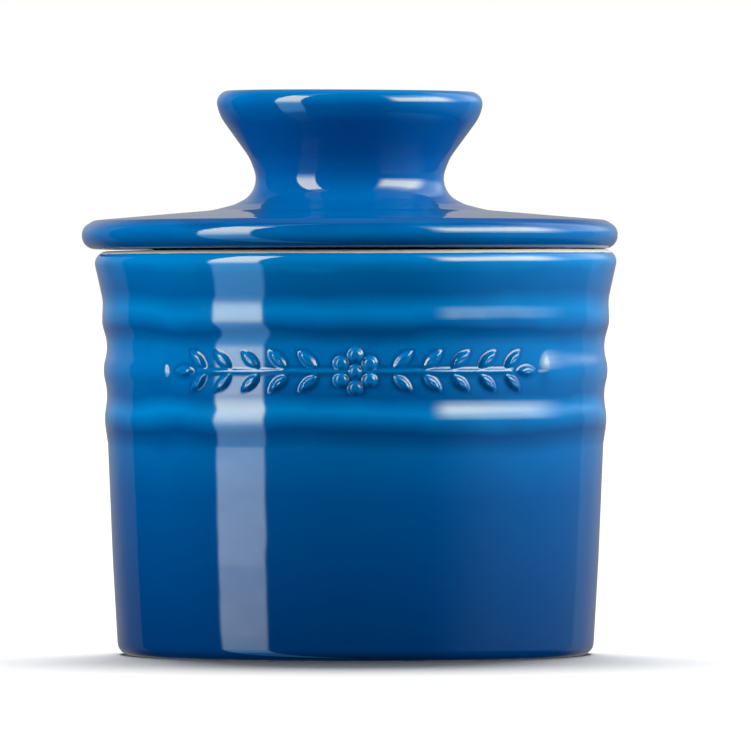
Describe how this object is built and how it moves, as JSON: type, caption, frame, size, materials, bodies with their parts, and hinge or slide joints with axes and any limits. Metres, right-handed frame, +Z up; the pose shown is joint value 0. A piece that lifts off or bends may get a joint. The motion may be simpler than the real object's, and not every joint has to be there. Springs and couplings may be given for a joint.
{
  "type": "butter crock",
  "caption": "Lidded stoneware jar that keeps butter soft: a bell under the flared knob lid holds it upside down over a little cold water.",
  "frame": {"origin": "on the axis of the lid, at the level of the jar's foot; the loose lid lies 1.1 mm to the left of the jar's own axis", "axes": "+Z up, along the axis on which both pieces are turned; -Y towards the front, the side with the leaf relief; +X to the right seen from the front"},
  "size_m": [0.1, 0.0998, 0.1051],
  "materials": {
    "jar_glaze": "gloss blue glaze over stoneware, shaded from azure at the rim to navy at the foot",
    "lid_glaze": "gloss blue glaze over stoneware"
  },
  "bodies": {
    "jar": {"jar": "jar_glaze"},
    "lid": {"lid": "lid_glaze"}
  },
  "joints": [
    {"name": "lid_lift", "type": "slide", "parent": "jar", "child": "lid", "axis": [0, 0, 1], "range_m": [0, 0.08]}
  ]
}
